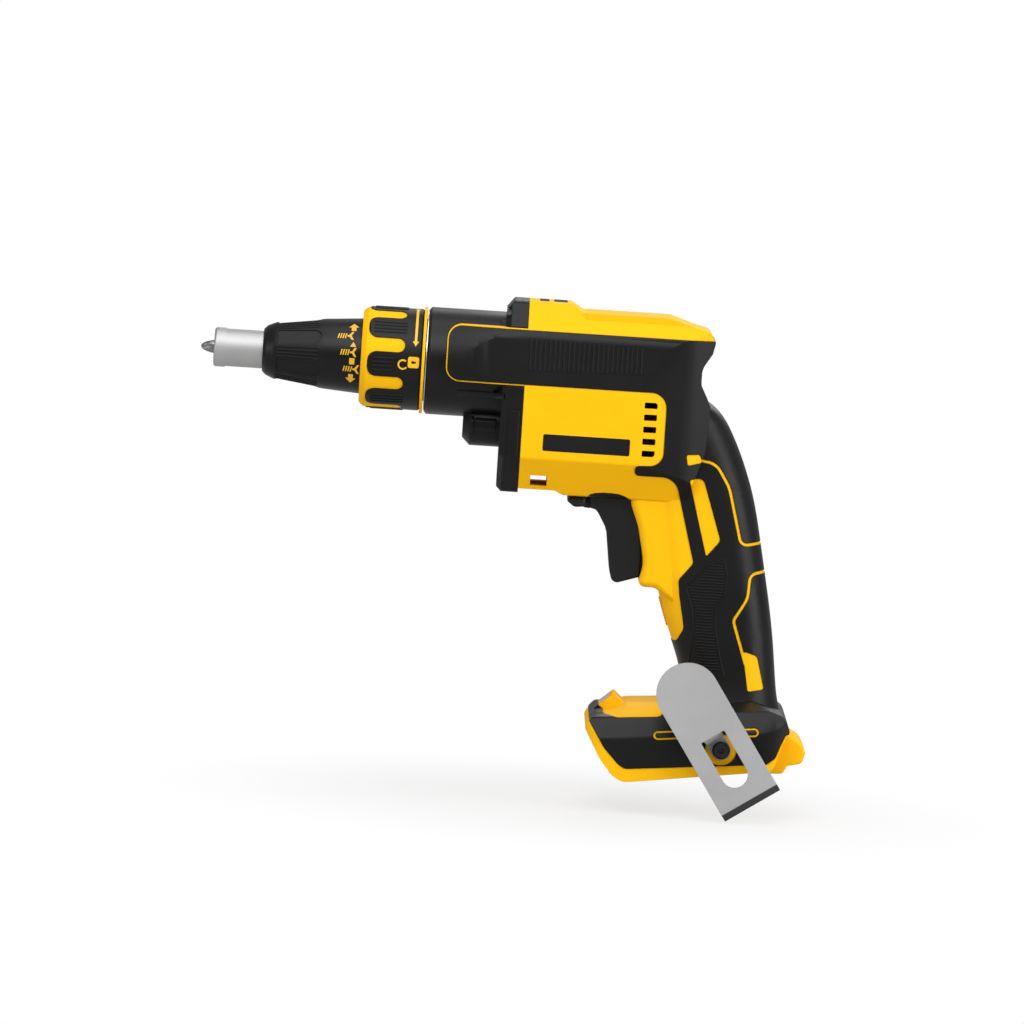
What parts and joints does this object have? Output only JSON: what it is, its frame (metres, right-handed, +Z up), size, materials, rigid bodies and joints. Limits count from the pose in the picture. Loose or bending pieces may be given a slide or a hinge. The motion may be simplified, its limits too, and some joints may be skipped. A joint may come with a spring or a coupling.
{
  "type": "cordless drywall screwdriver",
  "caption": "Pistol-grip cordless drywall screwdriver without battery: depth-setting nose, sliding trigger, direction lever, brushless motor and gear drive, belt hook and battery foot.",
  "frame": {"origin": "tip of the driver bit, on the drive axis", "axes": "+X back along the drive axis from the bit tip, +Z up, handle towards -Z, +Y to the far side"},
  "size_m": [0.2634, 0.0843, 0.21],
  "materials": {
    "yellow_nylon": "fine satin grain",
    "black_nylon": "fine matte grain",
    "black_rubber": "matte, soft touch",
    "black_plastic": "satin",
    "satin_steel": "turned satin",
    "bit_steel": "dark phosphate",
    "hardened_steel": "ground",
    "dark_screw": "black oxide",
    "grey_coated_steel": "matte powder coat",
    "lamination_steel": "stacked sheets",
    "magnet": "nickel grey",
    "copper_wire": "enamelled",
    "brass": "turned",
    "bronze": "sintered",
    "aluminium": "cast",
    "circuit_board": "solder mask",
    "clear_lens": "clear",
    "lead_red": "insulation",
    "lead_black": "insulation"
  },
  "bodies": {
    "tool": {"collar_snap_ring": "hardened_steel", "collar_washer": "satin_steel", "gear_case": "black_nylon", "gear_case_screws": "dark_screw", "spindle_bush": "bronze", "clutch_spring": "hardened_steel", "gear_bearing": "hardened_steel", "gear_plate": "aluminium", "front_bearing": "hardened_steel", "rear_bearing": "hardened_steel", "stator_core": "lamination_steel", "stator_coils": "copper_wire", "sensor_board": "circuit_board", "trigger_spring": "hardened_steel", "switch_body": "black_plastic", "control_module": "aluminium", "phase_leads": "lead_black", "switch_leads": "lead_red", "battery_leads": "lead_red", "terminal_block": "black_plastic", "battery_terminals": "brass", "led_lens": "clear_lens", "led_board": "circuit_board", "belt_hook": "grey_coated_steel", "belt_hook_screw": "dark_screw", "hook_inserts": "brass", "housing_screws": "dark_screw", "housing_near": "yellow_nylon", "housing_far": "yellow_nylon", "grip_near": "black_rubber", "grip_far": "black_rubber"},
    "rotor": {"motor_shaft": "hardened_steel", "rotor_core": "lamination_steel", "rotor_magnets": "magnet", "pinion": "hardened_steel", "cooling_fan": "black_plastic"},
    "gear": {"output_gear": "hardened_steel"},
    "press": {"thrust_washer": "hardened_steel"},
    "spindle": {"spindle": "hardened_steel", "bit_holder": "hardened_steel", "bit_magnet": "magnet", "driver_bit": "bit_steel"},
    "collar": {"depth_collar": "yellow_nylon", "collar_grip": "black_rubber"},
    "depth": {"depth_ring": "black_plastic", "nose_o_ring": "black_rubber"},
    "nose": {"nose_cone": "black_nylon", "bit_locator": "satin_steel"},
    "trigger": {"trigger": "black_plastic", "switch_plunger": "black_plastic"},
    "lever": {"direction_lever": "black_plastic"}
  },
  "joints": [
    {"name": "rotor_spin", "type": "hinge", "parent": "tool", "child": "rotor", "pos_m": [0.165, 0, -0.0248], "axis": [1, 0, 0], "continuous": true},
    {"name": "gear_spin", "type": "hinge", "parent": "tool", "child": "gear", "pos_m": [0.13, 0, 0], "axis": [1, 0, 0], "continuous": true},
    {"name": "bit_press", "type": "slide", "parent": "tool", "child": "press", "axis": [1, 0, 0], "range_m": [0, 0.003], "stiffness_N_per_m": 4000, "deforming": ["clutch_spring"]},
    {"name": "spindle_spin", "type": "hinge", "parent": "press", "child": "spindle", "pos_m": [0.07, 0, 0], "axis": [1, 0, 0], "continuous": true},
    {"name": "collar_turn", "type": "hinge", "parent": "tool", "child": "collar", "pos_m": [0.08, 0, 0], "axis": [1, 0, 0], "range_deg": [-150, 150]},
    {"name": "depth_slide", "type": "slide", "parent": "tool", "child": "depth", "axis": [1, 0, 0], "range_m": [-0.004, 0.004]},
    {"name": "nose_pull", "type": "slide", "parent": "depth", "child": "nose", "axis": [-1, 0, 0], "range_m": [0, 0.06]},
    {"name": "trigger_pull", "type": "slide", "parent": "tool", "child": "trigger", "axis": [0.9573, 0, 0.289], "range_m": [0, 0.007], "stiffness_N_per_m": 900, "deforming": ["trigger_spring"]},
    {"name": "direction_switch", "type": "hinge", "parent": "tool", "child": "lever", "pos_m": [0.20568, 0, -0.0534], "axis": [0, 0, 1], "range_deg": [-6, 6]}
  ],
  "couplings": [
    {"joint": "gear_spin", "follows": "rotor_spin", "ratio": -0.24},
    {"joint": "spindle_spin", "follows": "rotor_spin", "ratio": -0.24},
    {"joint": "collar_turn", "follows": "depth_slide", "rad_per_m": 654.5}
  ]
}
